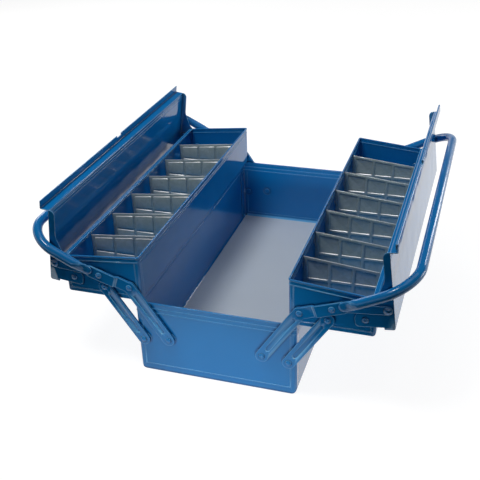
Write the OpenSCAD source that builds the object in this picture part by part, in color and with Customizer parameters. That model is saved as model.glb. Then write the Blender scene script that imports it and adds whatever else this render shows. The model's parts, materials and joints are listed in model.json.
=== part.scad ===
// Two-stage cantilever tool box in pressed sheet steel, shown open.
// X is the width, Y the length (front end towards -Y), Z is up.
// The origin is under the middle of the tub, on the surface that it stands on.

/* [Tub] */
// Length of the tub over its end panels
tub_l = 472; // [400:1:560]
// Width of the tub
tub_w = 220; // [206:1:240]
// Height of the tub to its rim
tub_h = 110; // [106:1:120]
// Radius of the long bottom edges
tub_edge_r = 8; // [6:0.5:10]
// Radius of the upright corners
tub_corner_r = 4; // [3:0.5:6]
// Thickness of all pressed sheet
sheet = 1; // [0.8:0.1:1.2]
// Depth of the flange that turns round from an end panel
end_flange = 10; // [8:1:14]
// Thickness of the floor mat
mat_t = 1.6; // [1:0.1:3]

/* [Trays] */
// Width of one tray
tray_w = 108.5; // [100:0.5:112]
// Height of a tray's inner wall
tray_h_in = 65.5; // [63:0.5:68]
// Height of a tray's outer wall
tray_h_out = 54.6; // [52:0.5:56]
// Radius of a tray's long bottom edges
tray_edge_r = 4.5; // [3:0.5:6]
// How far a tray's end stands back from the tub's end
tray_setback = 1; // [0.8:0.1:2]
// Divider plates in one tray
divider_count = 6; // [3:1:8]
// Thickness of a divider plate
divider_t = 0.8; // [0.6:0.1:1.2]
// Height left free between a divider and the rim
divider_drop = 4.5; // [4:0.5:10]

/* [Lids] */
// Depth of the lid's outer flange
lid_flange = 12; // [8:0.5:13]
// From a closed lid's inner fold to the middle of the box
lid_fold_in = 3.9; // [3:0.1:8]
// Depth of the lid's end flange where it is plain
cheek_strip = 8.5; // [7:0.5:10]
// Height of the right lid's ridge lip above its panel
lip_rise = 9.6; // [8:0.1:11]
// How much higher the left lid's lip is, so that it closes over the right one
lip_step = 2.3; // [2.2:0.1:3]
// Width of a ridge lip
lip_reach = 11.3; // [8:0.1:11.5]

/* [Linkage] */
// Height of the arm's pivot on the tub
arm_pivot_z = 56.6; // [50:0.1:62]
// How far an open tray's inner wall stands inside the tub's side
tray_inside = 10.3; // [8:0.1:14]
// From a tray's inner wall to the arm's pivot
arm_pin_in = 14.5; // [14:0.1:16]
// Height of the arm's pivot over the tray's bottom
arm_pin_up = 20.7; // [19:0.1:22]
// Link pivot on the tub, in from its side
link_pivot_in = 9.6; // [9.1:0.1:12]
// How far the link's pivots lie below the arm's
link_drop = 4; // [0:0.5:8]
// From a tray's outer wall to the lid's pivot
lid_pin_in = 13; // [12:0.1:14]
// Height of the lid's pivot over the tray's bottom
lid_pin_up = 23.4; // [22.5:0.1:24.5]
// From the lid's pivot to the bar's pivot, along the panel
bar_pin_in = 15.1; // [14.5:0.1:16]
// From the panel down to the bar's pivot
bar_pin_down = 7.3; // [7:0.1:8]
// Slope of the arm's plate when the box is open
plate_slope = 19.4; // [18:0.1:21]
// Half width of an arm and of a link
arm_r = 8.5; // [7:0.5:9.5]
// Half width of a cover bar
bar_r = 5.8; // [5.6:0.1:6.5]
// Radius of a rivet's shank
rivet_r = 2.5; // [2:0.1:3]
// Radius of a rivet's head
head_r = 4.5; // [4:0.1:5]
// Angle of the lid panel from level when it stands open
lid_open = 83; // [80:1:86]

/* [Handles] */
// Diameter of the handle tube
tube_d = 13; // [10:0.5:15]
// From the bar's rivet on the arm to the middle of the grip
handle_reach = 110.6; // [100:0.5:115]
// Slope of the handle's leg when the box is open
handle_slope = 26.9; // [24:0.1:30]
// Bend radius between the leg and the grip, at the tube's middle
handle_bend = 45; // [30:1:60]

/* [Clearances] */
// Gap under a closed tray
gap_closed = 0.8; // [0.5:0.1:1.5]
// Gap under an open tray, which then hangs over the tub's side
gap_open = 0.4; // [0.3:0.1:1]
// Half the gap between the two closed trays
gap_middle = 1.5; // [1:0.1:2]
// Air between sheets that pass each other
gap_side = 0.4; // [0.3:0.1:0.5]
// Air between a closed lid's panel and the tray's rim
lid_air = 2.2; // [1.8:0.1:3]
// How far the lid's outer flange stands inside the tray's outer wall, along the panel
flange_in = 0.4; // [0:0.1:1]
// Play of the floor mat at the tub's walls
mat_play = 0.2; // [0.1:0.1:1]
// Radial play of a rivet in the piece that turns on it
rivet_play = 0.08; // [0.05:0.01:0.1]
// Radial play of a link's upper eye, the loose fit that closes the four-bar
link_play = 0.3; // [0.3:0.05:0.5]
// Radial play of the bar's rivet in the lid, where its path is not quite the lid's
bar_play = 3.4; // [3.3:0.1:3.6]

/* [Hidden] */
$fn = 48;
side_nodes = ["tray", "tray_rivets", "lid", "handle", "handle_rivets", "bar_rivets"];
end_nodes = ["tray_end", "arm", "link", "cover_bar"];

blue = "#1f5fa0";
deep_blue = "#174a86";
zinc = "#8a9a98";
grey = "#9baab8";
steel = "#2c66a8";

// ---- small geometry helpers, in the X-Z plane: [x, z], angles turn from +X towards +Z ----
function turn(v, a) = [v.x * cos(a) - v.y * sin(a), v.x * sin(a) + v.y * cos(a)];
function unit(v) = v / norm(v);
function angle(v) = atan2(v.y, v.x);
// the point along d that is as far from p as from q
function even_reach(p, q, d) = d * (q * q - p * p) / (2 * (q - p) * d);
// points of an arc that rounds the corner p between a and b
function corner(a, p, b, r, n = 6) =
  let (u = unit(a - p), w = unit(b - p), half = acos(u * w) / 2, c = p + unit(u + w) * r / sin(half),
       d0 = unit(p + u * r / tan(half) - c), d1 = unit(p + w * r / tan(half) - c), span = acos(d0 * d1))
  [for (i = [0 : n]) c + r * unit(d0 * sin(span * (1 - i / n)) + d1 * sin(span * i / n))];
// closed outline from [x, z, radius] corners
function rounded(p) = [for (i = [0 : len(p) - 1])
  let (a = p[(i + len(p) - 1) % len(p)], b = p[(i + 1) % len(p)], q = [p[i].x, p[i].y])
  each p[i][2] == 0 ? [q] : corner([a.x, a.y], q, [b.x, b.y], p[i][2])];
// open line of [x, z, radius] corners, rounded
function bent(p) = [for (i = [0 : len(p) - 1])
  let (q = [p[i].x, p[i].y])
  each i == 0 || i == len(p) - 1 || p[i][2] == 0 ? [q]
    : corner([p[i - 1].x, p[i - 1].y], q, [p[i + 1].x, p[i + 1].y], p[i][2])];
// a line moved sideways by d, mitred at its corners
function moved(p, d) = [for (i = [0 : len(p) - 1])
  let (a = unit(i == 0 ? p[1] - p[0] : p[i] - p[i - 1]), b = unit(i == len(p) - 1 ? a : p[i + 1] - p[i]),
       m = unit(turn(a + b, 90)))
  p[i] + m * d / (m * turn(a, 90))];
function reversed(p) = [for (i = [len(p) - 1 : -1 : 0]) p[i]];
// the section of a bent sheet whose middle line is p
function sheet_section(p) = concat(moved(p, sheet / 2), reversed(moved(p, -sheet / 2)));

// height of a tray's rim at u from its inner wall
function rim_at(u) = tray_h_in - u * tan(rim_slope);

// ---- where the linkage stands, right side, open and closed ----
tray_closed = [gap_middle, tub_h + gap_closed];
tray_open = [tub_w / 2 - tray_inside, tub_h + gap_open];
arm_pin = [arm_pin_in, arm_pin_up];
arm_pin_closed = tray_closed + arm_pin;
arm_pin_open = tray_open + arm_pin;
// the arm's pivot lies as far from its open pin as from its closed one
pin_step = arm_pin_open - arm_pin_closed;
pin_middle = (arm_pin_open + arm_pin_closed) / 2;
arm_pivot = [pin_middle.x + (pin_middle.y - arm_pivot_z) * pin_step.y / pin_step.x, arm_pivot_z];
arm_len = norm(arm_pin_open - arm_pivot);
arm_swing = angle(arm_pin_closed - arm_pivot) - angle(arm_pin_open - arm_pivot);
link_offset = [tub_w / 2 - link_pivot_in - arm_pivot.x, -link_drop];
link_pivot = arm_pivot + link_offset;
link_pin_open = arm_pin_open + link_offset;
rim_slope = atan((tray_h_in - tray_h_out) / tray_w);
lid_pin_local = [tray_w - lid_pin_in, lid_pin_up];
lid_pin_open = tray_open + lid_pin_local;
lid_pin_closed = tray_closed + lid_pin_local;
// the lid, from its pivot: inner fold, outer flange and panel
lid_in = lid_pin_local.x + gap_middle - lid_fold_in;
lid_out = lid_pin_in - flange_in;
lid_rise = (rim_at(lid_pin_local.x) - lid_pin_up) * cos(rim_slope) + lid_air + sheet;
bar_pin = [-bar_pin_in, lid_rise - bar_pin_down];
bar_pin_open = lid_pin_open + turn(bar_pin, -lid_open);
bar_pin_closed = lid_pin_closed + turn(bar_pin, -rim_slope);
// the closed bar pivot, seen from the open arm
bar_pin_back = arm_pivot + turn(bar_pin_closed - arm_pivot, -arm_swing);
// the bar's rivet on the arm's plate, as far from one place of the bar's pivot as from the other
bar_foot = arm_pin_open + even_reach(bar_pin_back - arm_pin_open, bar_pin_open - arm_pin_open,
  [cos(plate_slope), sin(plate_slope)]);
bar_len = norm(bar_foot - bar_pin_open);
plate_len = norm(bar_foot - arm_pin_open);

// ---- layers at an end, measured from the middle of the box outwards ----
tub_end = tub_l / 2;
tray_end = tub_end - tray_setback;
boss_h = 0.8;
boss_air = 0.2;
cheek_y = tray_end + boss_h + boss_air;
bar_y = cheek_y + sheet + gap_side;
bar_t = 1.2;
arm_y = bar_y;
arm_t = 3;
plate_y = arm_y + arm_t + gap_side;
plate_t = 2.4;
plate_out = plate_y + plate_t;
tube_sink = 2.7;
tube_y = plate_out + tube_d / 2 - tube_sink;

// ---- beads and lines pressed into the walls ----
bead_r = 1.3;
rim_over = 0.3;
line_r = 1;
bead_1 = 9;
bead_2 = 15.5;
frame_in = 8;
frame_up = 10;
frame_r = 0.9;
frame_gap = 3;
hem_line = 8;
hem_line_2 = 12;
line_end = 4;
tray_frame_in = 6;

// ---- ends of tub and trays ----
seam_y = tub_end - end_flange;
tray_seam = tray_end - end_flange;
lap = 7;
mat_gap = 1;
boss_r = 9;
collar_r = 6;
tray_corner_r = 3;
tray_boss_r = 7;
tray_collar_r = 5.5;
ledge_w = 6;

// ---- levers, plates and tubes ----
groove_r = 3.2;
groove_depth = 1.4;
groove_end = 14;
plate_r = 8;
joggle_at = 19;
joggle_run = 4;
plate_tail = 21;
bar_rivet_r = 1.75;
washer_r = 5.4;
washer_t = 0.7;
flat_r = arm_r - 1.5;
flat_start = 17;
flat_end = 23;
flat_t = 3.2;
round_start = 37;
head_h = 2.2;
small_head_h = 1.6;
tail_h = 1;
collar_air = 0.3;
head_air = 0.2;

// ---- lids ----
fold_out_r = 2.5;
fold_in_r = 1.5;
lip_r = 1.2;
hem_r = 0.85;
hem_gap = 0.8;
hem_back = 7;
cheek_ramp = 40;
cheek_knee = [19, 18.5];
cheek_heel = 5.6;
cheek_notch = 3;
lobe_r = 13;
lid_line_1 = 6;
lid_line_2 = 10.5;
slot_l = 14;
slot_w = 4;

// ---- dividers ----
divider_r = 1;
divider_play = 0.3;
panel_edge = 5;
panel_gap = 3;
panel_proud = 0.6;
panel_r = 2;
panel_foot = 6;
panel_head = 4;

// ---- placing helpers ----
// how far a round end's bar stays inside its discs, so that they cross cleanly
tangent = 0.001;
// a flat shape in X-Z, from y0 outwards by t, at the front end
module slab(y0, t) translate([0, -y0, 0]) rotate([90, 0, 0]) linear_extrude(t) children();
module at_side(s) mirror([s == "left" ? 1 : 0, 0, 0]) children();
module at_end(e) mirror([0, e == "rear" ? 1 : 0, 0]) children();
module both_ends() for (e = ["front", "rear"]) at_end(e) children();
module in_tray() translate([tray_open.x, 0, tray_open.y]) children();
module in_lid() translate([lid_pin_open.x, 0, lid_pin_open.y]) rotate([0, lid_open, 0]) children();
module disc(p, r) translate(p) circle(r);
// a bar with round ends between two points
module stadium(p, q, r) {
  disc(p, r);
  disc(q, r);
  translate(p) rotate(angle(q - p)) translate([0, tangent - r]) square([norm(q - p), 2 * (r - tangent)]);
}
// a domed head whose flat side is at y0, on the front end
module dome(p, y0, r, h) let (ball = (r * r + h * h) / (2 * h)) intersection() {
  translate([p.x, -y0 - h + ball, p.y]) sphere(ball, $fn = 64);
  slab(y0, h) disc(p, r + 1);
}
// collar, shank, head and tail of one rivet; it is fixed in the wall that ends at wall_y
module rivet(p, wall_y, collar_end, head_y, collar) {
  slab(wall_y - sheet - tail_h, tail_h) disc(p, head_r);
  slab(wall_y - sheet, head_y - wall_y + sheet) disc(p, rivet_r);
  slab(wall_y, collar_end - wall_y) disc(p, collar);
  dome(p, head_y, head_r, head_h);
}

// ---- a pan pressed from sheet, along Y, with round bottom edges and round upright corners ----
// a trough's section: walls at x0 and x1 with their own heights, bottom at z0
module trough(x0, x1, z0, top0, top1, r) {
  polygon([[x0, z0 + r], [x1, z0 + r], [x1, top1], [x0, top0]]);
  translate([x0 + r, z0]) square([x1 - x0 - 2 * r, 2 * r]);
  for (x = [x0 + r, x1 - r]) disc([x, z0 + r], r);
}
module soft_rectangle(x0, x1, half_l, r) {
  translate([x0 + r, -half_l]) square([x1 - x0 - 2 * r, 2 * half_l]);
  translate([x0, r - half_l]) square([x1 - x0, 2 * (half_l - r)]);
  for (x = [x0 + r, x1 - r], y = [r - half_l, half_l - r]) disc([x, y], r);
}
// the first child's section, from one end to the other, cut to the second child's plan
module pan(half_l, top) intersection() {
  translate([0, half_l, 0]) rotate([90, 0, 0]) linear_extrude(2 * half_l) children(0);
  translate([0, 0, -sheet]) linear_extrude(top + 2 * sheet) children(1);
}
// a bead that runs round the upright walls at one height, on the sheet's middle
module bead_ring(x0, x1, half_l, z, r_corner, r) {
  cx = [x0 + r_corner, x1 - r_corner];
  cy = half_l - r_corner;
  for (x = [x0, x1]) translate([x, cy, z]) rotate([90, 0, 0]) cylinder(r = r, h = 2 * cy);
  for (y = [-half_l, half_l]) translate([cx[0], y, z]) rotate([0, 90, 0]) cylinder(r = r, h = cx[1] - cx[0]);
  for (i = [0, 1], j = [0, 1]) translate([cx[i], (2 * j - 1) * cy, z])
    rotate([0, 0, i == 1 ? (j == 1 ? 0 : -90) : (j == 1 ? 90 : 180)])
      rotate_extrude(angle = 90) translate([r_corner, 0]) circle(r, $fn = 24);
}

// ================= tub =================
tub_in = tub_w / 2 - sheet;
mid_x = tub_w / 2 - sheet / 2;
mid_l = tub_end - sheet / 2;

// the space inside walls that stand i inside the tub's outside
module tub_solid(i, end, top) pan(end, top) {
  trough(i - tub_w / 2, tub_w / 2 - i, i, top, top, tub_edge_r - i);
  soft_rectangle(i - tub_w / 2, tub_w / 2 - i, end, tub_corner_r - min(i, sheet));
}
module tub_full() {
  difference() {
    tub_solid(0, tub_end, tub_h - rim_over);
    tub_solid(sheet, tub_end - sheet, tub_h + sheet);
  }
  for (z = [bead_1, bead_2]) bead_ring(-mid_x, mid_x, mid_l, tub_h - z, tub_corner_r - sheet / 2, line_r);
  bead_ring(-mid_x, mid_x, mid_l, tub_h - bead_r, tub_corner_r - sheet / 2, bead_r);
}
module across(y0, y1) translate([-tub_w, y0, -sheet]) cube([2 * tub_w, y1 - y0, tub_h + tray_h_in]);

module tub_shell() color(blue) intersection() {
  tub_full();
  across(-seam_y, seam_y);
}

// an end panel: flanged all round, lapped inside the shell, with a boss at each pivot
module tub_end_panel(e) color(blue) at_end(e) difference() {
  line_z = tub_h - bead_2 - frame_gap;
  union() {
    intersection() {
      tub_full();
      across(-tub_end - line_r, -seam_y);
    }
    intersection() {
      difference() {
        tub_solid(sheet, tub_end - sheet, line_z);
        tub_solid(2 * sheet, tub_end, line_z + sheet);
      }
      translate([-tub_w, -seam_y - lap, tub_edge_r]) cube([2 * tub_w, 2 * lap, line_z]);
    }
    for (x = [-1, 1], p = [arm_pivot, link_pivot]) slab(tub_end - sheet, sheet + boss_h) disc([x * p.x, p.y], boss_r);
    tub_frame_line(line_z);
  }
  for (x = [-1, 1], p = [arm_pivot, link_pivot]) {
    slab(tub_end - 2 * sheet, sheet + boss_h) disc([x * p.x, p.y], boss_r - sheet);
    slab(tub_end - 2 * sheet, 4 * sheet) disc([x * p.x, p.y], rivet_r);
  }
}
// the pressed line that frames the end panel on three sides
module tub_frame_line(z1) {
  x1 = tub_w / 2 - frame_in;
  for (x = [-x1, x1]) translate([x, -mid_l, frame_up]) cylinder(r = frame_r, h = z1 - frame_up);
  translate([-x1, -mid_l, frame_up]) rotate([0, 90, 0]) cylinder(r = frame_r, h = 2 * x1);
  for (x = [-x1, x1]) translate([x, -mid_l, frame_up]) sphere(frame_r);
}
module tub_end_front() tub_end_panel("front");
module tub_end_rear() tub_end_panel("rear");

// a mat cut to the tub's inside; its long edges ride up on the round bottom edges
module floor_mat() color(grey) translate([0, tub_end - sheet - mat_gap, 0]) rotate([90, 0, 0])
  linear_extrude(2 * (tub_end - sheet - mat_gap)) intersection() {
    trough(mat_play - tub_in, tub_in - mat_play, sheet, tub_h, tub_h, tub_edge_r - sheet - mat_play);
    translate([-tub_in, 0]) square([2 * tub_in, sheet + mat_t]);
  }

module tub_rivets() color(steel) both_ends() for (x = [-1, 1], p = [arm_pivot, link_pivot])
  rivet([x * p.x, p.y], tub_end + boss_h, arm_y - collar_air, arm_y + arm_t + head_air, collar_r);

// ================= trays =================
tray_mid_l = tray_end - sheet / 2;
// the space inside walls that stand i inside a tray's outside, over more than its rim
module tray_solid(i, over) pan(tray_end - i, tray_h_in + over) {
  trough(i, tray_w - i, i, tray_h_in + over, tray_h_out + over, tray_edge_r - i);
  polygon(rounded([for (c = [[i, -1], [tray_w - i, -1], [tray_w - i, 1], [i, 1]])
    [c.x, c.y * (tray_end - i), tray_corner_r - i]]));
}

module tray_full() {
  difference() {
    tray_solid(0, -rim_over);
    tray_solid(sheet, bead_r);
  }
  tray_ring(bead_r, bead_r);
  tray_ring(hem_line, line_r);
  // a second line on the inner wall
  translate([sheet / 2, 0, tray_h_in - hem_line_2]) rotate([90, 0, 0])
    cylinder(r = line_r, h = 2 * (tray_seam - line_end), center = true);
  // the outer wall's rim is turned inwards, and the dividers stop at it
  translate([0, tray_end - sheet, 0]) rotate([90, 0, 0]) linear_extrude(2 * (tray_end - sheet)) polygon([
    for (p = [[tray_w - ledge_w, 0], [tray_w - sheet / 2, 0], [tray_w - sheet / 2, sheet], [tray_w - ledge_w, sheet]])
    [p.x, rim_at(p.x) - rim_over - p.y]]);
}
// a bead all round that follows the sloping rim, drop below it
module tray_ring(drop, r) translate([0, 0, tray_h_in - drop]) rotate([0, rim_slope, 0])
  bead_ring(sheet / 2 / cos(rim_slope), (tray_w - sheet / 2) / cos(rim_slope), tray_mid_l, 0,
    tray_corner_r - sheet / 2, r);
module tray(s) color(blue) at_side(s) in_tray() intersection() {
  tray_full();
  across(-tray_seam, tray_seam);
}
module tray_end_panel(s, e) color(blue) at_side(s) at_end(e) in_tray() difference() {
  union() {
    intersection() {
      tray_full();
      across(-tray_end - bead_r, -tray_seam);
    }
    for (p = [arm_pin, arm_pin + link_offset]) slab(tray_end - sheet, sheet + boss_h) disc(p, tray_boss_r);
    tray_frame_line();
  }
  for (p = [arm_pin, arm_pin + link_offset]) {
    slab(tray_end - 2 * sheet, sheet + boss_h) disc(p, tray_boss_r - sheet);
    slab(tray_end - 2 * sheet, 4 * sheet) disc(p, rivet_r);
  }
  slab(tray_end - 2 * sheet, 4 * sheet) disc(lid_pin_local, rivet_r);
}
// the pressed line inside the tray end's lower edges
module tray_frame_line() {
  z0 = tray_frame_in;
  for (u = [tray_frame_in, tray_w - tray_frame_in]) {
    translate([u, -tray_mid_l, z0]) cylinder(r = frame_r, h = rim_at(u) - hem_line - z0);
    translate([u, -tray_mid_l, z0]) sphere(frame_r);
  }
  translate([tray_frame_in, -tray_mid_l, z0]) rotate([0, 90, 0])
    cylinder(r = frame_r, h = tray_w - 2 * tray_frame_in);
}
module tray_rivets(s) color(steel) at_side(s) both_ends() {
  for (p = [arm_pin_open, link_pin_open])
    rivet(p, tray_end + boss_h, arm_y - collar_air, arm_y + arm_t + head_air, tray_collar_r);
  rivet(lid_pin_open, tray_end, cheek_y - collar_air, cheek_y + sheet + head_air, collar_r);
}

// a divider plate: two rows of three pressed panels, its top edge along the rim's slope
divider_pitch = 2 * tray_end / (divider_count + 1);
divider_u0 = sheet / 2 + bead_r;
divider_u1 = tray_w - ledge_w - divider_play;
function divider_top(u) = rim_at(u) - divider_drop;
module divider(s, i) color(zinc) at_side(s) in_tray() translate([0, -tray_end + divider_pitch * i, 0])
  rotate([90, 0, 0]) {
    linear_extrude(divider_t, center = true) polygon(rounded([
      [divider_u0, sheet, tray_edge_r], [divider_u1, sheet, divider_r],
      [divider_u1, divider_top(divider_u1), divider_r], [divider_u0, divider_top(divider_u0), divider_r]]));
    linear_extrude(divider_t + 2 * panel_proud, center = true) for (c = [0 : 2]) divider_panels(c);
  }
// the lower and the upper panel of one column
module divider_panels(column) {
  w = (divider_u1 - divider_u0 - 2 * panel_edge - 2 * panel_gap) / 3;
  a = divider_u0 + panel_edge + column * (w + panel_gap);
  foot = sheet + panel_foot;
  middle = sheet + tray_h_out / 2;
  polygon(rounded([[a, foot, panel_r], [a + w, foot, panel_r], [a + w, middle, panel_r], [a, middle, panel_r]]));
  polygon(rounded([[a, middle + panel_gap, panel_r], [a + w, middle + panel_gap, panel_r],
    [a + w, divider_top(a + w) - panel_head, panel_r], [a, divider_top(a) - panel_head, panel_r]]));
}

// ================= lids =================
// the folds of a lid, panel level, measured from its pivot; the right lid's lip has a hem folded under it
function lid_path(s) =
  let (z = lid_rise - sheet / 2, x = -lid_in + sheet / 2, o = lid_out - sheet / 2,
       up = z + lip_rise + (s == "left" ? lip_step : 0), tip = x - lip_reach, under = up - sheet - hem_gap)
  bent(concat([[o, lid_rise - lid_flange, 0], [o, z, fold_out_r], [x, z, fold_in_r], [x, up, lip_r]],
    s == "left" ? [[tip, up, 0]] : [[tip, up, hem_r], [tip, under, hem_r], [tip + hem_back, under, 0]]));
// an end flange: a plain strip that widens to a lobe round the lid's pivot, with a notch at the outer flange
module cheek_outline() {
  strip = lid_rise - cheek_strip;
  notch = lid_rise - lid_flange - 1.5 * sheet;
  polygon(rounded([[-lid_in, lid_rise - sheet / 2, 0], [-lid_in, strip, 7], [bar_pin.x - cheek_ramp, strip, 25],
    [bar_pin.x - cheek_knee.x, lid_rise - cheek_knee.y, 12], [-cheek_heel, -lobe_r, 10],
    [lid_out - cheek_notch, -lobe_r, 5], [lid_out - cheek_notch, notch, 0.7], [lid_out, notch, 0.7],
    [lid_out, lid_rise, 3]]));
}
module lid(s) color(deep_blue) at_side(s) in_lid() difference() {
  half = cheek_y + sheet;
  union() {
    translate([0, half, 0]) rotate([90, 0, 0]) linear_extrude(2 * half) polygon(sheet_section(lid_path(s)));
    both_ends() slab(cheek_y, sheet) cheek_outline();
    for (x = [lid_line_1, lid_line_2]) translate([x - lid_in, 0, lid_rise - sheet / 2]) rotate([90, 0, 0])
      cylinder(r = frame_r, h = 2 * (cheek_y - sheet), center = true);
  }
  both_ends() slab(cheek_y - sheet, 3 * sheet) {
    disc([0, 0], rivet_r + rivet_play);
    disc(bar_pin, bar_rivet_r + bar_play);
  }
  // the slot at the middle of the lip
  translate([-lid_in - lip_reach + slot_w / 2, 0, lid_rise + lip_rise])
    cube([slot_w, slot_l, 3 * slot_w], center = true);
}

// ================= linkage =================
// a pressed link from a to b with a groove along its face and a bore at each end
module lever(a, b, play_a, play_b) difference() {
  d = unit(b - a);
  slab(arm_y, arm_t) stadium(a, b, arm_r);
  slab(arm_y + arm_t - groove_depth, 2 * groove_depth) stadium(a + d * groove_end, b - d * groove_end, groove_r);
  slab(arm_y - sheet, arm_t + 2 * sheet) disc(a, rivet_r + play_a);
  slab(arm_y - sheet, arm_t + 2 * sheet) disc(b, rivet_r + play_b);
}
// the plate that goes on from the arm's upper pivot, stepped out to pass the link and the bar
module arm_plate() {
  far = plate_len + plate_tail;
  d = [cos(plate_slope), sin(plate_slope)];
  step = joggle_at + joggle_run;
  profile = [[0, arm_y], [joggle_at, arm_y], [step, plate_y], [far, plate_y], [far, plate_out],
    [step - 1, plate_out], [joggle_at - 1, arm_y + arm_t], [0, arm_y + arm_t]];
  intersection() {
    translate([arm_pin_open.x, 0, arm_pin_open.y]) rotate([0, -plate_slope, 0])
      translate([0, 0, -arm_r]) mirror([0, 1, 0]) linear_extrude(2 * arm_r) polygon(profile);
    slab(arm_y, plate_out - arm_y) stadium(arm_pin_open, arm_pin_open + d * (far - plate_r), plate_r);
  }
}
module arm(s, e) color(blue) at_side(s) at_end(e) difference() {
  union() {
    lever(arm_pivot, arm_pin_open, rivet_play, rivet_play);
    arm_plate();
  }
  slab(arm_y - sheet, arm_t + 2 * sheet) disc(arm_pin_open, rivet_r + rivet_play);
  slab(plate_y - sheet, plate_t + 2 * sheet) disc(bar_foot, rivet_r);
}
module link(s, e) color(blue) at_side(s) at_end(e) lever(link_pivot, link_pin_open, rivet_play, link_play);
module cover_bar(s, e) color(steel) at_side(s) at_end(e) difference() {
  slab(bar_y, bar_t) stadium(bar_foot, bar_pin_open, bar_r);
  slab(bar_y - sheet, bar_t + 2 * sheet) disc(bar_foot, rivet_r + rivet_play);
  slab(bar_y - sheet, bar_t + 2 * sheet) disc(bar_pin_open, bar_rivet_r);
}
// rivets that join the bars to the arm plates
module handle_rivets(s) color(steel) at_side(s) both_ends() {
  slab(bar_y, plate_out - bar_y) disc(bar_foot, rivet_r);
  slab(bar_y + bar_t + collar_air, plate_y - bar_y - bar_t - collar_air) disc(bar_foot, collar_r);
  dome(bar_foot, plate_out, head_r, head_h);
}
// rivets carried by the bars, through the wide holes in the lids
module bar_rivets(s) color(steel) at_side(s) both_ends() {
  slab(cheek_y, bar_y + bar_t - cheek_y) disc(bar_pin_open, bar_rivet_r);
  slab(bar_y + bar_t, washer_t) disc(bar_pin_open, washer_r);
  dome(bar_pin_open, bar_y + bar_t + washer_t, head_r, small_head_h);
}

// ================= handles =================
module in_leg() translate([bar_foot.x, 0, bar_foot.y]) rotate([0, -handle_slope, 0]) children();
// one end of the tube: flattened and laid on the arm's plate, then opening into the round tube
module spoon() {
  translate([0, -plate_out, 0]) rotate([90, 0, 0]) linear_extrude(flat_t) {
    disc([flat_start, 0], flat_r);
    translate([flat_start, tangent - flat_r]) square([flat_end - flat_start, 2 * (flat_r - tangent)]);
  }
  hull() {
    translate([flat_end - tangent, -plate_out - flat_t, -flat_r]) cube([flat_t / 4, flat_t, 2 * flat_r]);
    translate([round_start, -tube_y, 0]) rotate([0, 90, 0]) cylinder(d = tube_d, h = flat_t / 4, $fn = 32);
  }
}
module handle(s) color(steel) at_side(s) {
  straight = handle_reach - handle_bend;
  grip_half = tube_y - handle_bend;
  in_leg() {
    both_ends() {
      spoon();
      translate([round_start, -tube_y, 0]) rotate([0, 90, 0]) cylinder(d = tube_d, h = straight - round_start);
      translate([straight, -tube_y + handle_bend, 0]) rotate([0, 0, -90]) rotate_extrude(angle = 90)
        translate([handle_bend, 0]) circle(d = tube_d);
    }
    translate([handle_reach, grip_half, 0]) rotate([90, 0, 0]) cylinder(d = tube_d, h = 2 * grip_half);
  }
}

tub_shell();
tub_end_front();
tub_end_rear();
floor_mat();
tub_rivets();
for (s = ["left", "right"]) {
  tray(s);
  tray_rivets(s);
  lid(s);
  handle(s);
  handle_rivets(s);
  bar_rivets(s);
  for (e = ["front", "rear"]) {
    tray_end_panel(s, e);
    arm(s, e);
    link(s, e);
    cover_bar(s, e);
  }
  for (i = [1 : divider_count]) divider(s, i);
}
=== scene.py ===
# %% [markdown]
# # A two-stage cantilever tool box
#
# The real object is a workshop box pressed from thin steel sheet and stoved in blue enamel. Two trays
# ride outwards on paired levers, their lids fold back behind them, and a tube handle grows out of each
# pair of arms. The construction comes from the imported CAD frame, at its real size, with the origin under
# the middle of the tub. This script gives the box its looks: its finishes, the soft edges of its sheet,
# its pressed dividers and its round handles.

# %% The frame
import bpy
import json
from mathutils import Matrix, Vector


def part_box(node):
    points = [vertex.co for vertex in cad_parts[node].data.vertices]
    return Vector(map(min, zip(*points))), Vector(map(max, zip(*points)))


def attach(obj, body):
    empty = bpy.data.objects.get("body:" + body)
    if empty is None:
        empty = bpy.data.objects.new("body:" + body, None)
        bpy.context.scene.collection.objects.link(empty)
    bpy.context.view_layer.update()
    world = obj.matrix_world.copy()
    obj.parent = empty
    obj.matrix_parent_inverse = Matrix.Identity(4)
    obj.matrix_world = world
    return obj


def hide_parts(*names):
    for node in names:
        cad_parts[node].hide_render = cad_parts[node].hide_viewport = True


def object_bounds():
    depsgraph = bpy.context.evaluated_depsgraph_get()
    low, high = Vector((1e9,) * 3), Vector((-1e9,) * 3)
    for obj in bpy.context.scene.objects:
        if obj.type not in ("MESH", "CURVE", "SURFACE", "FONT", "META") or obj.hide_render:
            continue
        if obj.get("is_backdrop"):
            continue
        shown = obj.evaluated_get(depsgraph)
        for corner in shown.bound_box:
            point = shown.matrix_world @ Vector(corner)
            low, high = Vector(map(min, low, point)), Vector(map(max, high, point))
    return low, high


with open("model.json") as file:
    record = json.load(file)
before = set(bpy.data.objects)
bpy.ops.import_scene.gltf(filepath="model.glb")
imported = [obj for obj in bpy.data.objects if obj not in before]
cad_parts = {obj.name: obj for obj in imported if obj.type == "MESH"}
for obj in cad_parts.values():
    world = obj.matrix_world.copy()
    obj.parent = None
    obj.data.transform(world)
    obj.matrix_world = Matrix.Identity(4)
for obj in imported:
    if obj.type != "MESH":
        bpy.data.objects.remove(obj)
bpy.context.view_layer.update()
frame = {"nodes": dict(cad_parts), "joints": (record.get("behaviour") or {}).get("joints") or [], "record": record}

# %% What else is needed
import json
import math

import bpy
from mathutils import Matrix, Vector

MM = 0.001
nodes = frame["nodes"]
print("CAD nodes:", len(nodes))

# %% [markdown]
# ## Camera
#
# The camera stands about 1.3 m from the box, to the right of its front end and 29 degrees above the
# bench, so both trays, the floor of the tub and the levers at the front end all show. A lens of about
# 60 mm keeps the upright edges nearly parallel. A camera looks along its own -Z with its +Y up, so its
# turn is written as the three directions that its own axes take: right, up and back.

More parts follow.
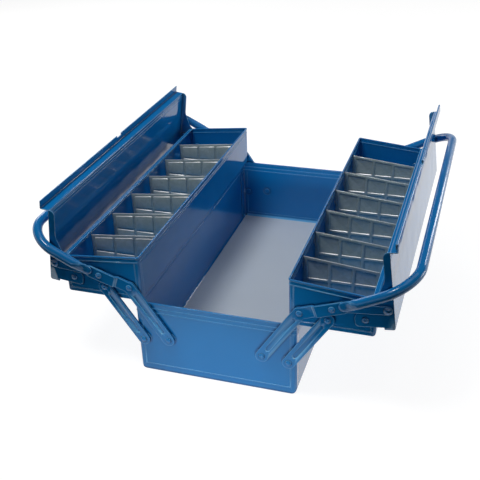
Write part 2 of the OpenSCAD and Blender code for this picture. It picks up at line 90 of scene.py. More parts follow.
# %% Camera
FRAME_PX = 480
FOCAL_PX = 808.175
SENSOR_MM = 36
CAMERA_PLACE = (0.313735, -1.040913, 0.691945)
AZIMUTH, ELEVATION, ROLL = -0.328, 0.505, 0.037
# how far the camera sees, well past the walls round the floor
SIGHT_M = 50

forward = Vector((
    math.sin(AZIMUTH) * math.cos(ELEVATION),
    math.cos(AZIMUTH) * math.cos(ELEVATION),
    -math.sin(ELEVATION),
))
level_right = Vector((math.cos(AZIMUTH), -math.sin(AZIMUTH), 0))
level_down = forward.cross(level_right)
right = level_right * math.cos(ROLL) + level_down * math.sin(ROLL)
down = level_down * math.cos(ROLL) - level_right * math.sin(ROLL)

camera_data = bpy.data.cameras.new("camera")
camera_data.sensor_width = SENSOR_MM
camera_data.lens = FOCAL_PX / FRAME_PX * SENSOR_MM
camera_data.clip_end = SIGHT_M
camera = bpy.data.objects.new("camera", camera_data)
bpy.context.scene.collection.objects.link(camera)
turn = Matrix((right, -down, -forward)).transposed().to_4x4()
camera.matrix_world = Matrix.Translation(CAMERA_PLACE) @ turn
bpy.context.scene.camera = camera
bpy.context.scene.view_settings.view_transform = "Standard"
print("lens", round(camera_data.lens, 1), "mm, camera", round(Vector(CAMERA_PLACE).length, 2), "m away")


# %% [markdown]
# ## Helpers for materials
#
# Colours are written as sRGB hex, as on a colour card, and Blender wants them linear. One small
# function adds a shader node, sets its inputs and links them, so that each material reads as a list.
# Every pattern reads Object coordinates. All the pieces lie at the origin, with their place in their
# mesh, so a pattern has the same scale on each of them and stays on it when it moves.

# %% Helpers for colours and shader nodes
def linear(code):
    """An sRGB hex colour as linear RGBA."""
    parts = [int(code[i:i + 2], 16) / 255 for i in (1, 3, 5)]
    return tuple(c / 12.92 if c <= 0.04045 else ((c + 0.055) / 1.055) ** 2.4 for c in parts) + (1.0,)


def add_node(tree, kind, settings=None, **inputs):
    """One shader node. An input is a value, or a socket to link from. It is named as in Blender, with _
    for a space, or by its number after an i, as in i0."""
    made = tree.nodes.new(kind)
    for key, value in (settings or {}).items():
        setattr(made, key, value)
    for key, value in inputs.items():
        by_number = key[0] == "i" and key[1:].isdigit()
        socket = made.inputs[int(key[1:]) if by_number else key.replace("_", " ")]
        if isinstance(value, bpy.types.NodeSocket):
            tree.links.new(value, socket)
        else:
            socket.default_value = value
    return made


def new_material(name):
    """An empty material: itself, its tree, its Principled shader and its Object coordinates."""
    material = bpy.data.materials.new(name)
    material.use_nodes = True
    tree = material.node_tree
    shader = tree.nodes["Principled BSDF"]
    place = tree.nodes.new("ShaderNodeTexCoord").outputs["Object"]
    return material, tree, shader, place


# %% [markdown]
# ## Painted shade in grooves and corners
#
# An Ambient Occlusion node measures how much of the sky over a point is left open by what stands
# within a few millimetres, so it finds grooves and corners. There the colour is darkened, a painted
# shade. It reads the shape alone, so its result is the same from every side.

# %% Grooves and corners
# the shares of open sky at which shelter starts and is full
OPEN_SKY, HIDDEN_SKY = 0.95, 0.6


def corner_shade_share(tree, reach_mm):
    """Where the painted shade goes: a share from 0 in the open to 1 in a groove or corner about as deep as the
    reach.
    """
    sky = add_node(tree, "ShaderNodeAmbientOcclusion", {"samples": 6}, Distance=reach_mm * MM)
    share = add_node(tree, "ShaderNodeMapRange", Value=sky.outputs["AO"],
                     From_Min=OPEN_SKY, From_Max=HIDDEN_SKY)
    return share.outputs["Result"]


# %% [markdown]
# ## Enamel
#
# The pressings are dipped in a glossy alkyd enamel and baked in a stove. Its colour carries painted
# light: a paler blue on the upper side of every edge and bead is a painted highlight, and a deeper blue
# in grooves and corners is a painted shade. Its colour drifts a little over 70 mm. Its skin keeps waves
# of about 45 mm, which bend long reflections, and an orange peel of about 2 mm, which blurs them.
#
# A Bevel node rounds the normal near an edge, so that a sharp fold catches the light as a soft one does.
# Real bevels would be another way, but they break on sheet this thin where folds and beads meet. How
# far the rounded normal leans away from the true one tells where the edges are, and there the upper
# side gets the painted highlight. Resin has an IOR near 1.5, and 1.45 suits this coat. Its roughness
# is low, from 0.06 to 0.12.
# Hands have rubbed the handles duller, from 0.13 to 0.2.

# %% Where the enamel gets its painted highlight
EDGE_MM = 1.3
# cosines of how far the rounded normal leans where an edge starts and where it is full
EDGE_START, EDGE_FULL = 0.995, 0.94
# the line's strength on faces that look down, and the upward parts of the normal from where it grows
# to where it is full
UNDERSIDE_SHARE, LOOKS_DOWN, LOOKS_UP = 0.35, -0.2, 0.5


def upper_edge_highlight(tree, rounded):
    """Where the painted highlight goes: a share from 0 on a flat face to 1 on the upper side of an edge or bead.
    """
    here = tree.nodes.new("ShaderNodeNewGeometry")
    lean = add_node(tree, "ShaderNodeVectorMath", {"operation": "DOT_PRODUCT"},
                    i0=rounded, i1=here.outputs["True Normal"])
    edge = add_node(tree, "ShaderNodeMapRange", Value=lean.outputs["Value"],
                    From_Min=EDGE_START, From_Max=EDGE_FULL)
    facing = add_node(tree, "ShaderNodeSeparateXYZ", Vector=here.outputs["Normal"])
    upper = add_node(tree, "ShaderNodeMapRange", Value=facing.outputs["Z"],
                     From_Min=LOOKS_DOWN, From_Max=LOOKS_UP, To_Min=UNDERSIDE_SHARE)
    share = add_node(tree, "ShaderNodeMath", {"operation": "MULTIPLY"},
                     i0=edge.outputs["Result"], i1=upper.outputs["Result"])
    return share.outputs["Value"]


# %% Enamel
# the base blue, its drift, the painted highlight on upper edges and the painted shade in grooves
BLUE, BLUE_DRIFT, BLUE_PAINTED_HIGHLIGHT, BLUE_PAINTED_SHADE = "#117FC6", "#0F76BA", "#74C6F8", "#083E78"
DRIFT_MM, PAINTED_SHADE_MM, GLOSS_MM, ENAMEL_IOR = 70, 4, 17, 1.45
# nearly all of a noise lies between these
NOISE_LOW, NOISE_HIGH = 0.3, 0.7
# size, height and strength of the orange peel and of the waves
PEEL_MM, PEEL_HIGH_MM, PEEL_SHARE = 2, 0.2, 0.05
WAVE_MM, WAVE_HIGH_MM, WAVE_SHARE = 45, 2, 0.25


def enamel(name, glossy, dull):
    """Blue stove enamel. Its roughness runs from glossy to dull."""
    material, tree, shader, place = new_material(name)
    rounded = add_node(tree, "ShaderNodeBevel", {"samples": 8}, Radius=EDGE_MM * MM).outputs["Normal"]

    clouds = add_node(tree, "ShaderNodeTexNoise", Vector=place, Scale=1 / (DRIFT_MM * MM), Detail=3.0)
    drifted = add_node(tree, "ShaderNodeMix", {"data_type": "RGBA"}, i0=clouds.outputs["Fac"],
                       i6=linear(BLUE), i7=linear(BLUE_DRIFT))
    # painted shade: a deeper blue in grooves and corners
    shaded_blue = add_node(tree, "ShaderNodeMix", {"data_type": "RGBA"}, i0=corner_shade_share(tree, PAINTED_SHADE_MM),
                      i6=drifted.outputs[2], i7=linear(BLUE_PAINTED_SHADE))
    # painted highlight: a paler blue on the upper side of edges and beads
    highlighted_blue = add_node(tree, "ShaderNodeMix", {"data_type": "RGBA"}, i0=upper_edge_highlight(tree, rounded),
                     i6=shaded_blue.outputs[2], i7=linear(BLUE_PAINTED_HIGHLIGHT))
    tree.links.new(highlighted_blue.outputs[2], shader.inputs["Base Color"])

    specks = add_node(tree, "ShaderNodeTexNoise", Vector=place, Scale=1 / (GLOSS_MM * MM), Detail=4.0)
    gloss = add_node(tree, "ShaderNodeMapRange", Value=specks.outputs["Fac"],
                     From_Min=NOISE_LOW, From_Max=NOISE_HIGH, To_Min=glossy, To_Max=dull)
    tree.links.new(gloss.outputs["Result"], shader.inputs["Roughness"])

    peel = add_node(tree, "ShaderNodeTexNoise", Vector=place, Scale=1 / (PEEL_MM * MM), Detail=1.0)
    fine = add_node(tree, "ShaderNodeBump", Strength=PEEL_SHARE, Distance=PEEL_HIGH_MM * MM,
                    Height=peel.outputs["Fac"], Normal=rounded)
    waves = add_node(tree, "ShaderNodeTexNoise", Vector=place, Scale=1 / (WAVE_MM * MM), Detail=1.0)
    broad = add_node(tree, "ShaderNodeBump", Strength=WAVE_SHARE, Distance=WAVE_HIGH_MM * MM,
                     Height=waves.outputs["Fac"], Normal=fine.outputs["Normal"])
    tree.links.new(broad.outputs["Normal"], shader.inputs["Normal"])
    shader.inputs["IOR"].default_value = ENAMEL_IOR
    return material


blue_enamel = enamel("blue_stove_enamel", glossy=0.06, dull=0.12)
gripped_enamel = enamel("blue_enamel_worn_by_hands", glossy=0.13, dull=0.2)
print("enamel nodes:", len(blue_enamel.node_tree.nodes))

# %% [markdown]
# ## Zinc-coated sheet
#
# The dividers are hot-dipped steel, left bare. Zinc freezes into spangles, flat crystals some 4.5 mm
# across, each turned a little differently, so the grey changes in tone and gloss from cell to cell. A
# Voronoi texture has just such cells. Faces that look up, such as the upper slopes of the pressed
# panels, are whitened as a painted highlight, and the corners are darkened as a painted shade. The
# skin of old zinc is partly oxide, so it is only 0.3 metallic, with a dull gloss of 0.34 to 0.4. As a
# metal, it keeps the default IOR.

# %% Zinc-coated sheet
# spangle tones, then the white of the painted highlight and the dark of the painted shade
ZINC_LIGHT, ZINC_DARK, ZINC_PAINTED_HIGHLIGHT, ZINC_PAINTED_SHADE = "#CCDAD5", "#BECEC7", "#FFFFFF", "#5C6A67"
SPANGLE_MM, ZINC_SHADE_MM, ZINC_METALLIC = 4.5, 2, 0.3
# upward part of the normal where the painted highlight starts, and where it is full
HIGHLIGHT_START, HIGHLIGHT_FULL = 0.15, 0.5


def spangled_zinc(name, glossy, dull):
    """Zinc-coated steel. Its roughness runs from glossy to dull."""
    material, tree, shader, place = new_material(name)
    cells = add_node(tree, "ShaderNodeTexVoronoi", Vector=place, Scale=1 / (SPANGLE_MM * MM))
    turned = add_node(tree, "ShaderNodeSeparateColor", Color=cells.outputs["Color"])
    spangled = add_node(tree, "ShaderNodeMix", {"data_type": "RGBA"}, i0=turned.outputs["Red"],
                        i6=linear(ZINC_DARK), i7=linear(ZINC_LIGHT))
    here = tree.nodes.new("ShaderNodeNewGeometry")
    facing = add_node(tree, "ShaderNodeSeparateXYZ", Vector=here.outputs["Normal"])
    faces_up_share = add_node(tree, "ShaderNodeMapRange", Value=facing.outputs["Z"],
                    From_Min=HIGHLIGHT_START, From_Max=HIGHLIGHT_FULL)
    # painted highlight: faces that look up, such as the upper slopes of the panels, turn white
    highlighted_zinc = add_node(tree, "ShaderNodeMix", {"data_type": "RGBA"}, i0=faces_up_share.outputs["Result"],
                      i6=spangled.outputs[2], i7=linear(ZINC_PAINTED_HIGHLIGHT))
    # painted shade: the corners turn dark grey
    shaded_zinc = add_node(tree, "ShaderNodeMix", {"data_type": "RGBA"}, i0=corner_shade_share(tree, ZINC_SHADE_MM),
                      i6=highlighted_zinc.outputs[2], i7=linear(ZINC_PAINTED_SHADE))
    tree.links.new(shaded_zinc.outputs[2], shader.inputs["Base Color"])
    gloss = add_node(tree, "ShaderNodeMapRange", Value=turned.outputs["Green"],
                     To_Min=glossy, To_Max=dull)
    tree.links.new(gloss.outputs["Result"], shader.inputs["Roughness"])
    shader.inputs["Metallic"].default_value = ZINC_METALLIC
    return material


zinc = spangled_zinc("spangled_zinc", glossy=0.34, dull=0.4)
print("zinc nodes:", len(zinc.node_tree.nodes))

# %% [markdown]
# ## Vinyl
#
# The mat on the floor of the tub is PVC, calendered, which means rolled out hot into a thin sheet. It is
# pale blue-grey, with the even half gloss of soft plastic, so its roughness is 0.4. The rollers leave a
# grain of about half a millimetre, drawn here at 1.1 mm so that it shows. The sheet is sold rolled up,
# so low swells are left in it, some 60 mm apart and about three times as long, a little askew to the
# box. A stretched noise gives both their length and their slant.

# %% Vinyl
VINYL, VINYL_DRIFT = "#DAE3EA", "#D0D9E1"
STAIN_MM = 110
# size, height and strength of the grain and of the swells
GRAIN_MM, GRAIN_HIGH_MM, GRAIN_SHARE = 1.1, 0.2, 0.25
SWELL_MM, SWELL_HIGH_MM, SWELL_SHARE = 60, 4, 0.4
SWELL_STRETCH, SWELL_SLANT = (1.0, 0.35, 1.0), (0, 0, math.radians(12))


def calendered_vinyl(name, roughness):
    """Rolled PVC sheet, with its grain and its swells."""
    material, tree, shader, place = new_material(name)
    clouds = add_node(tree, "ShaderNodeTexNoise", Vector=place, Scale=1 / (STAIN_MM * MM), Detail=3.0)
    drifted = add_node(tree, "ShaderNodeMix", {"data_type": "RGBA"}, i0=clouds.outputs["Fac"],
                       i6=linear(VINYL), i7=linear(VINYL_DRIFT))
    tree.links.new(drifted.outputs[2], shader.inputs["Base Color"])
    grain = add_node(tree, "ShaderNodeTexNoise", Vector=place, Scale=1 / (GRAIN_MM * MM), Detail=2.0)
    fine = add_node(tree, "ShaderNodeBump", Strength=GRAIN_SHARE, Distance=GRAIN_HIGH_MM * MM,
                    Height=grain.outputs["Fac"])
    stretched = add_node(tree, "ShaderNodeMapping", Vector=place, Scale=SWELL_STRETCH,
                         Rotation=SWELL_SLANT)
    swells = add_node(tree, "ShaderNodeTexNoise", Vector=stretched.outputs["Vector"],
                      Scale=1 / (SWELL_MM * MM), Detail=0.0)
    broad = add_node(tree, "ShaderNodeBump", Strength=SWELL_SHARE, Distance=SWELL_HIGH_MM * MM,
                     Height=swells.outputs["Fac"], Normal=fine.outputs["Normal"])
    tree.links.new(broad.outputs["Normal"], shader.inputs["Normal"])
    shader.inputs["Roughness"].default_value = roughness
    return material


mat_vinyl = calendered_vinyl("calendered_vinyl", roughness=0.4)
print("vinyl nodes:", len(mat_vinyl.node_tree.nodes))

# %% [markdown]
# ## Pressed sheet, levers and rivets
#
# The walls, lids and levers are steel sheet, cut, folded and beaded in a press, and the rivets have
# domed heads. All these shapes are right in the CAD, so they aren't modelled again. A CAD node's mesh
# is loose triangles, which show as facets on every bend. So a copy of each is merged into one closed
# mesh and shaded smooth over its bends. Weighted normals then keep its large faces flat right up to
# them, and the Bevel node in the enamel softens its edges. The CAD node itself is hidden.

# %% Helpers for selecting, dressing and copying
body_of = {n: body for body, group in frame["record"]["behaviour"]["bodies"].items() for n in group}
FOLD_DEGREES = 30
SAME_POINT_M = 2e-6
LARGE_FACES_LEAD = 100


def select_only(piece):
    bpy.ops.object.select_all(action="DESELECT")
    piece.select_set(True)
    bpy.context.view_layer.objects.active = piece


def dress(piece, node, finish):
    """The piece takes a finish and rides with the node's body, and the node is hidden."""
    piece.data.materials.clear()
    piece.data.materials.append(finish)
    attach(piece, body_of[node])
    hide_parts(node)


def smooth_copy(node):
    """A closed copy of a CAD piece, shaded smooth over its bends and beads."""
    select_only(nodes[node])
    bpy.ops.object.duplicate()
    piece = bpy.context.object
    piece.name = node + "_skin"
    # the copy drops the marks and the parent that the frame gave its node
    for key in list(piece.keys()):
        del piece[key]
    piece.parent = None
    bpy.ops.object.mode_set(mode="EDIT")
    bpy.ops.mesh.select_all(action="SELECT")
    bpy.ops.mesh.remove_doubles(threshold=SAME_POINT_M)
    bpy.ops.object.mode_set(mode="OBJECT")
    bpy.ops.object.shade_smooth_by_angle(angle=math.radians(FOLD_DEGREES))
    flat = piece.modifiers.new("flat faces stay flat", "WEIGHTED_NORMAL")
    flat.keep_sharp = True
    flat.weight = LARGE_FACES_LEAD
    bpy.ops.object.modifier_apply(modifier=flat.name)
    return piece


# %% Skins of the sheet pieces, levers and rivets
ends = ("front", "rear")
sides = ("left", "right")
enamelled = ["tub_shell"] + [f"tub_end_{e}" for e in ends]
enamelled += [f"tray_{s}" for s in sides] + [f"tray_end_{s}_{e}" for s in sides for e in ends]
enamelled += [f"lid_{s}" for s in sides]
enamelled += [f"{kind}_{s}_{e}" for kind in ("arm", "link", "cover_bar") for s in sides for e in ends]
enamelled += ["tub_rivets"] + [f"{kind}_rivets_{s}" for kind in ("tray", "handle", "bar") for s in sides]
for node in enamelled:
    dress(smooth_copy(node), node, blue_enamel)
print("enamelled pieces:", len(enamelled))

# %% [markdown]
# ## Floor mat
#
# The mat is one plain thin sheet that lies flat in the tub. Its CAD shape is all it needs, so it is
# copied as the steel is. Its grain and its swells come from the vinyl.

# %% The mat
dress(smooth_copy("floor_mat"), "floor_mat", mat_vinyl)

# %% [markdown]
# ## Dividers
#
# A divider is a plate of 0.8 mm zinc-coated sheet. Two rows of three panels are pressed out of it to
# stiffen it, so one face has them raised and the other sunk. Bump in the material could draw them, but
# their slopes have to catch the light and hide each other as real ones do, so they are modelled. One
# plate is made as by hand: a plane is cut into cells, the flat ribs are inset, the corners of the panels
# are rounded, and their middles are pushed out. Solidify then gives the plate its thickness, so its
# back takes the print of its front. The twelve dividers are copies of it.
#
# With the sheet's own thickness, a press of 0.9 mm stays within the 2 mm of the CAD plate. The ribs lie
# half of that depth to one side of the plate's middle, and the panels half of it to the other.

# %% Divider sizes, from its CAD node
DIVIDER_MM, PRESS_MM, SLOPE_MM = 0.8, 0.9, 0.7
# three panels in a row, flat margins above, below and beside them, and flat ribs between them
COLUMNS, ABOVE_MM, BELOW_MM, BESIDE_MM, RIB_MM = 3, 4, 6, 5, 3
A_HAIR = 1e-5

plate_low, plate_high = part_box("divider_right_1")
plate_wide = plate_high.x - plate_low.x
plate_tall = plate_high.z - plate_low.z
# the plate's top falls evenly towards the tray's outer wall
plate_points = [v.co for v in nodes["divider_right_1"].data.vertices]
outer_tall = max(p.z for p in plate_points if p.x > plate_high.x - 0.1 * MM) - plate_low.z
top_fall = (plate_tall - outer_tall) / plate_wide
print("divider mm:", [round(v / MM, 1) for v in (plate_wide, plate_tall, outer_tall)])


# %% Helpers for selecting in edit mode
def faces_where(piece, test):
    """Selects the faces that pass the test."""
    bpy.ops.mesh.select_all(action="DESELECT")
    bpy.ops.object.mode_set(mode="OBJECT")
    for face in piece.data.polygons:
        face.select = bool(test(face))
    bpy.ops.object.mode_set(mode="EDIT")


def vertices_where(piece, test):
    """Selects the vertices whose place passes the test."""
    bpy.ops.mesh.select_all(action="DESELECT")
    bpy.ops.object.mode_set(mode="OBJECT")
    for vertex in piece.data.vertices:
        vertex.select = bool(test(vertex.co))
    bpy.ops.object.mode_set(mode="EDIT")


# %% The flat sheet, with its inner edge at x = 0 and its foot at z = 0
bpy.ops.object.select_all(action="DESELECT")
bpy.ops.mesh.primitive_plane_add(size=1, location=(0, 0, 0))
plate = bpy.context.object
plate.name = "divider_plate"
for vertex in plate.data.vertices:
    along, up = vertex.co.x + 0.5, vertex.co.y + 0.5
    height = plate_tall - along * plate_wide * top_fall
    vertex.co = (along * plate_wide, -PRESS_MM / 2 * MM, up * height)
print("sheet mm:", [round(v / MM, 1) for v in plate.data.vertices[3].co])


# %% Cut along the middles of the ribs
def cut_in_two(point, normal):
    bpy.ops.mesh.select_all(action="SELECT")
    bpy.ops.mesh.bisect(plane_co=point, plane_no=normal)


half_rib = RIB_MM / 2 * MM
inner = BESIDE_MM * MM - half_rib
outer = plate_wide - inner
foot = BELOW_MM * MM - half_rib
middle = outer_tall / 2 + half_rib
head = plate_tall - (ABOVE_MM * MM - half_rib)

bpy.ops.object.mode_set(mode="EDIT")
bpy.ops.mesh.select_mode(type="FACE")
for i in range(COLUMNS + 1):
    cut_in_two((inner + (outer - inner) * i / COLUMNS, 0, 0), (1, 0, 0))
cut_in_two((0, 0, foot), (0, 0, 1))
cut_in_two((0, 0, middle), (0, 0, 1))
cut_in_two((0, 0, head), (top_fall, 0, 1))
print("rows cut at", [round(v / MM, 1) for v in (foot, middle, head)], "mm")


# %% Ribs, and round corners for the panels
def is_cell(face):
    x, z = face.center.x, face.center.z
    return inner < x < outer and foot < z < head - x * top_fall


PANEL_CORNER_MM = 2
faces_where(plate, is_cell)
bpy.ops.mesh.inset(thickness=half_rib, depth=0, use_individual=True)
bpy.ops.mesh.select_mode(type="VERT")
bpy.ops.mesh.bevel(offset=PANEL_CORNER_MM * MM, segments=4, affect="VERTICES")
print("ribs", RIB_MM, "mm wide, panel corners", PANEL_CORNER_MM, "mm round")

# %% The panels, pressed out down a short slope
bpy.ops.mesh.select_mode(type="FACE")
bpy.ops.object.mode_set(mode="OBJECT")
largest = sorted(face.area for face in plate.data.polygons)[-2 * COLUMNS:]
bpy.ops.object.mode_set(mode="EDIT")
faces_where(plate, lambda face: face.area >= largest[0])
bpy.ops.mesh.inset(thickness=SLOPE_MM * MM, depth=-PRESS_MM * MM, use_individual=True)
print("panels mm2:", [round(area / MM ** 2) for area in largest])

# %% The corner that clears the bend of the tray
PLATE_CORNER_MM = 4.5
bpy.ops.mesh.select_mode(type="VERT")
vertices_where(plate, lambda p: p.x < A_HAIR and p.z < A_HAIR)
bpy.ops.mesh.bevel(offset=PLATE_CORNER_MM * MM, segments=5, affect="VERTICES")
bpy.ops.object.mode_set(mode="OBJECT")
print("divider faces before its thickness:", len(plate.data.polygons))

# %% [markdown]
# The sheet gets its thickness on both sides alike, and then a small Bevel on its folds, so that each
# bend is a soft one.

# %% Thickness and soft bends
BEND_MM, BEND_DEGREES, SMOOTH_DEGREES = 0.12, 25, 35
select_only(plate)
thick = plate.modifiers.new("sheet", "SOLIDIFY")
thick.thickness = DIVIDER_MM * MM
thick.offset = 0
bpy.ops.object.modifier_apply(modifier=thick.name)
soft = plate.modifiers.new("soft bends", "BEVEL")
soft.width = BEND_MM * MM
soft.segments = 2
soft.limit_method = "ANGLE"
soft.angle_limit = math.radians(BEND_DEGREES)
bpy.ops.object.modifier_apply(modifier=soft.name)
bpy.ops.object.shade_smooth_by_angle(angle=math.radians(SMOOTH_DEGREES))
print("divider faces:", len(plate.data.polygons))

# %% [markdown]
# The same plate serves both trays. It stands with its tall end at the tray's inner wall, so in the left
# tray it is turned half round, and its raised side faces the other way. Each copy's place is applied to
# its own mesh, which leaves its object at the origin.

# %% The twelve dividers
PER_TRAY = 6
for side in sides:
    for i in range(1, PER_TRAY + 1):
        low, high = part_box(f"divider_{side}_{i}")
        inner_x = low.x if side == "right" else high.x
        select_only(plate)
        bpy.ops.object.duplicate()
        divider = bpy.context.object
        divider.name = f"divider_{side}_{i}_plate"
        divider.rotation_euler = (0, 0, 0 if side == "right" else math.pi)
        divider.location = (inner_x, (low.y + high.y) / 2, low.z)
        bpy.ops.object.transform_apply(location=True, rotation=True, scale=True)
        dress(divider, f"divider_{side}_{i}", zinc)
bpy.data.objects.remove(plate)
print("dividers placed:", PER_TRAY * len(sides))

# %% [markdown]
# ## Handles
#
# Each handle is one length of 13 mm steel tube, bent twice round a former, with both ends hammered flat
# into a spoon that is welded to the arm's plate. A curve with a round bevel would give the tube, but
# not its flat ends. So a ring of vertices is drawn along the path instead: extruded along the leg, spun
# round the bend and extruded to the middle of the grip. At its other end it is extruded and squeezed,
# ring by ring, into the spoon. A mirror gives the second half, so both ends are alike.

# %% Handle sizes, from the joint at its foot and from its CAD node
TUBE_R = 6.5 * MM
BEND_R = 45 * MM
LEG_SLOPE = math.radians(26.9)
# the tube's inner side lies this much deeper than the face of the arm's plate
PLATE_STEP = 2.7 * MM
RING_POINTS, BEND_STEPS, CREASE_DEGREES = 32, 14, 40

spoon_foot = next(Vector(j["pos_m"]) for j in frame["joints"] if j["name"] == "bar_swing_right")
handle_low, handle_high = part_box("handle_right")
leg_y = -handle_low.y - TUBE_R
plate_face = leg_y - TUBE_R + PLATE_STEP
grip_reach = (handle_high.x - TUBE_R - spoon_foot.x) / math.cos(LEG_SLOPE)
print("grip stands", round(grip_reach / MM, 1), "mm from the rivet")


# %% A ring of the tube, where it is still round, in the frame of its leg
def draw_on(x=0, y=0):
    bpy.ops.mesh.extrude_region_move(TRANSFORM_OT_translate={"value": (x, y, 0)})


ROUND_FROM = 37 * MM
bpy.ops.object.select_all(action="DESELECT")
bpy.ops.mesh.primitive_circle_add(
    vertices=RING_POINTS, radius=TUBE_R, location=(ROUND_FROM, -leg_y, 0), rotation=(0, math.pi / 2, 0))
right_tube = bpy.context.object
right_tube.name = "handle_right_tube"
bpy.ops.object.transform_apply(location=True, rotation=True, scale=True)
print("leg's axis", round(leg_y / MM, 1), "mm from the middle of the box")

# %% The leg, the bend and half of the grip
straight = grip_reach - BEND_R
bend_y = BEND_R - leg_y
grip_x = grip_reach - TUBE_R
bpy.ops.object.mode_set(mode="EDIT")
bpy.ops.mesh.select_mode(type="VERT")
draw_on(x=straight - ROUND_FROM)
bpy.ops.mesh.spin(
    steps=BEND_STEPS, angle=-math.pi / 2, center=(straight, bend_y, 0), axis=(0, 0, 1))
vertices_where(right_tube, lambda p: p.x > grip_x - A_HAIR and p.y > bend_y - A_HAIR)
draw_on(y=-bend_y)
print("straight leg ends at", round(straight / MM, 1), "mm, half grip", round(-bend_y / MM, 1), "mm")

# %% The spoon
# millimetres from the rivet, half width and half thickness of each ring, from the tube to the tip
SPOON_RINGS = (
    (34, 6.55, 6.1), (31, 6.7, 5.0), (28, 6.85, 3.7), (25, 7.0, 2.6), (22, 7.0, 1.9),
    (19, 7.0, 1.6), (16, 6.9, 1.6), (13, 5.5, 1.5), (11, 3.6, 1.3), (10.2, 1.6, 1.0),
)
# a ring thinner than this lies on the plate, and a thicker one moves in by a share of what it has lost
ON_PLATE, MOVES_IN = 4 * MM, 0.6

vertices_where(right_tube, lambda p: p.x < ROUND_FROM + A_HAIR)
x, y, wide, thick = ROUND_FROM, -leg_y, TUBE_R, TUBE_R
for ring in SPOON_RINGS:
    new_x, new_wide, new_thick = (v * MM for v in ring)
    if new_thick < ON_PLATE:
        new_y = -plate_face - new_thick
    else:
        new_y = -leg_y + (TUBE_R - new_thick) * MOVES_IN
    draw_on(x=new_x - x, y=new_y - y)
    squeeze = (1, new_thick / thick, new_wide / wide)
    bpy.ops.transform.resize(value=squeeze, center_override=(new_x, new_y, 0))
    x, y, wide, thick = new_x, new_y, new_wide, new_thick
bpy.ops.mesh.edge_face_add()
bpy.ops.object.mode_set(mode="OBJECT")
print("half handle faces:", len(right_tube.data.polygons))


# %% The right handle, mirrored end to end and tilted to its place
def turn_outwards():
    """All faces of the active piece point outwards, after its doubles are merged."""
    bpy.ops.object.mode_set(mode="EDIT")
    bpy.ops.mesh.select_all(action="SELECT")
    bpy.ops.mesh.remove_doubles(threshold=A_HAIR)
    bpy.ops.mesh.normals_make_consistent(inside=False)
    bpy.ops.object.mode_set(mode="OBJECT")


mirror = right_tube.modifiers.new("other end", "MIRROR")
mirror.use_axis = (False, True, False)
bpy.ops.object.modifier_apply(modifier=mirror.name)
turn_outwards()
right_tube.rotation_euler = (0, -LEG_SLOPE, 0)
right_tube.location = (spoon_foot.x, 0, spoon_foot.z)
bpy.ops.object.transform_apply(location=True, rotation=True, scale=True)
bpy.ops.object.shade_smooth_by_angle(angle=math.radians(CREASE_DEGREES))
print("handle box", [[round(c, 4) for c in right_tube.bound_box[corner]] for corner in (0, 6)])
print("its node's", [[round(c, 4) for c in corner] for corner in (handle_low, handle_high)])

# %% The left handle is the right one mirrored
select_only(right_tube)
bpy.ops.object.duplicate()
left_tube = bpy.context.object
left_tube.name = "handle_left_tube"
left_tube.scale = (-1, 1, 1)
bpy.ops.object.transform_apply(location=True, rotation=True, scale=True)
turn_outwards()
dress(right_tube, "handle_right", gripped_enamel)
dress(left_tube, "handle_left", gripped_enamel)
print("handle faces:", len(right_tube.data.polygons), len(left_tube.data.polygons))

# %% [markdown]
# ## Floor
#
# The box stands on a wide sheet of white paper, turned up into a low wall on all sides, far away. The
# wall hides the dark horizon, which would otherwise show in a low view and in the enamel. Where the
# camera or a reflection sees the paper, most of it is an even glow, so that it reads as white without
# more light on the box. The rest is the lit paper itself, which keeps the shadow under the box.

# %% Finishes with no gloss
def matt(name, colour):
    """A material without any gloss, its tree and its shader."""
    material, tree, shader, _ = new_material(name)
    shader.inputs["Base Color"].default_value = linear(colour)
    shader.inputs["Roughness"].default_value = 1.0
    shader.inputs["Specular IOR Level"].default_value = 0.0
    return material, tree, shader


# %% Floor
FLOOR_REACH_M, WALL_M = 8, 3
GLOW, GLOW_SHARE = 1.3, 0.7

bpy.ops.object.select_all(action="DESELECT")
bpy.ops.mesh.primitive_plane_add(size=2 * FLOOR_REACH_M, location=(0, 0, 0))
floor = bpy.context.object
floor.name = "floor"
bpy.ops.object.mode_set(mode="EDIT")
bpy.ops.mesh.select_mode(type="EDGE")
bpy.ops.mesh.select_all(action="SELECT")
bpy.ops.mesh.extrude_edges_move(TRANSFORM_OT_translate={"value": (0, 0, WALL_M)})
bpy.ops.object.mode_set(mode="OBJECT")

white_paper, tree, paper = matt("white_paper", "#E6E6E6")
ray = tree.nodes.new("ShaderNodeLightPath")
seen = add_node(tree, "ShaderNodeMath", {"operation": "ADD"},
                i0=ray.outputs["Is Camera Ray"], i1=ray.outputs["Is Glossy Ray"])
seen = add_node(tree, "ShaderNodeMath", {"operation": "ADD"},
                i0=seen.outputs["Value"], i1=ray.outputs["Is Transmission Ray"])
share = add_node(tree, "ShaderNodeMath", {"operation": "MULTIPLY", "use_clamp": True},
                 i0=seen.outputs["Value"], i1=GLOW_SHARE)
glow = add_node(tree, "ShaderNodeEmission", Strength=GLOW)
mixed = add_node(tree, "ShaderNodeMixShader", i0=share.outputs["Value"],
                 i1=paper.outputs["BSDF"], i2=glow.outputs["Emission"])
tree.links.new(mixed.outputs["Shader"], tree.nodes["Material Output"].inputs["Surface"])
floor.data.materials.append(white_paper)
floor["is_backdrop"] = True
print("floor", 2 * FLOOR_REACH_M, "m wide")


# %% [markdown]
# ## Lamps
#
# Enamel is dark and glossy, so what it mirrors matters as much as what lights it, and soft rectangular
# lamps serve for both. The key, above the front left, gives the shadows their direction. A wide one
# overhead fills the trays and the tub. A narrow strip behind the right side draws bright lines on rims
# and tubes, and one behind the left side and one low at the right keep the lids and walls from going
# black. The tub's front end stands upright and gets little from above, so a low spot is aimed at it.

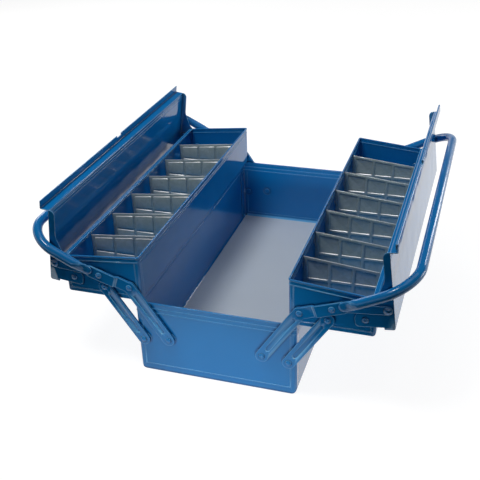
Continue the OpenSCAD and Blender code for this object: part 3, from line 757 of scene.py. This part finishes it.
# %% Lamps
def place_light(name, data, place, aim):
    """The light hangs at its place and looks at its aim."""
    made = bpy.data.objects.new(name, data)
    bpy.context.scene.collection.objects.link(made)
    made.location = place
    made.rotation_euler = (Vector(aim) - Vector(place)).to_track_quat("-Z", "Y").to_euler()


# name, place, aim, width and height in metres, watts
SOFTBOXES = (
    ("key_softbox", (-0.45, -0.55, 1.85), (0, 0, 0), (0.6, 0.35), 13),
    ("top_softbox", (0.1, 0.2, 2.0), (0, 0, 0), (1.6, 1.4), 7),
    ("strip_softbox", (1.1, 1.8, 0.75), (0, 0, 0.15), (0.3, 0.8), 6),
    ("rear_softbox", (-1.4, 1.3, 1.0), (0, 0, 0.1), (0.9, 0.9), 9),
    ("side_softbox", (1.7, 0.6, 0.3), (0.2, 0, 0.12), (0.6, 0.4), 5),
)
for name, place, aim, (wide, tall), watts in SOFTBOXES:
    box = bpy.data.lights.new(name, "AREA")
    box.shape = "RECTANGLE"
    box.size, box.size_y = wide, tall
    box.energy = watts
    place_light(name, box, place, aim)

SPOT_WATTS, SPOT_CONE, SPOT_FADE, SPOT_RADIUS_M = 100, math.radians(10), 0.8, 0.15
spot = bpy.data.lights.new("low_spot", "SPOT")
spot.energy = SPOT_WATTS
spot.spot_size = SPOT_CONE
spot.spot_blend = SPOT_FADE
spot.shadow_soft_size = SPOT_RADIUS_M
place_light("low_spot", spot, place=(0.05, -1.8, 0.12), aim=(0.02, -0.236, 0.03))
print("lamps:", len(SOFTBOXES) + 1)

# %% [markdown]
# ## A black flag
#
# The upright front faces mirror the paper in front of them, which would turn them milky. In a studio,
# black cloth is laid there, out of view. Here it is three cards. The two that reach nearest to the box
# leave a gap between them, so the tub's end still mirrors some white paper, and the faces beside it
# show their own blue. The camera doesn't see the cloth, and it casts no shadow.

# %% A black flag
# left, right, front and back edge of each card, in metres
FLAG_CARDS = ((-1.2, 1.2, -2.0, -0.44), (-1.2, -0.19, -0.44, -0.36), (0.06, 1.2, -0.44, -0.37))
FLAG_Z = 4 * MM

bpy.ops.object.select_all(action="DESELECT")
cards = []
for left_x, right_x, front_y, back_y in FLAG_CARDS:
    middle = ((left_x + right_x) / 2, (front_y + back_y) / 2, FLAG_Z)
    bpy.ops.mesh.primitive_plane_add(size=1, location=middle)
    card = bpy.context.object
    card.scale = (right_x - left_x, back_y - front_y, 1)
    cards.append(card)
for card in cards:
    card.select_set(True)
bpy.ops.object.join()
flag = bpy.context.object
flag.name = "flag"
bpy.ops.object.transform_apply(location=True, rotation=True, scale=True)
flag.visible_camera = False
flag.visible_shadow = False
black_velvet, _, _ = matt("black_velvet", "#101010")
flag.data.materials.append(black_velvet)
flag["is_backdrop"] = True
print("flag faces:", len(flag.data.polygons))

# %% [markdown]
# ## World
#
# The room around the studio is nearly dark. A trace of white light from it keeps the deepest corners
# from going black.

# %% World
ROOM_LIGHT = 0.05
world = bpy.data.worlds.new("studio")
bpy.context.scene.world = world
world.use_nodes = True
sky = world.node_tree.nodes["Background"]
sky.inputs["Color"].default_value = linear("#FFFFFF")
sky.inputs["Strength"].default_value = ROOM_LIGHT
print("room light:", ROOM_LIGHT)

# %% [markdown]
# ## Sizes
#
# The dressed box is measured, without the floor and the flag.

# %% Sizes
low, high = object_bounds()
print("visual box", [round(v, 4) for v in low], [round(v, 4) for v in high])
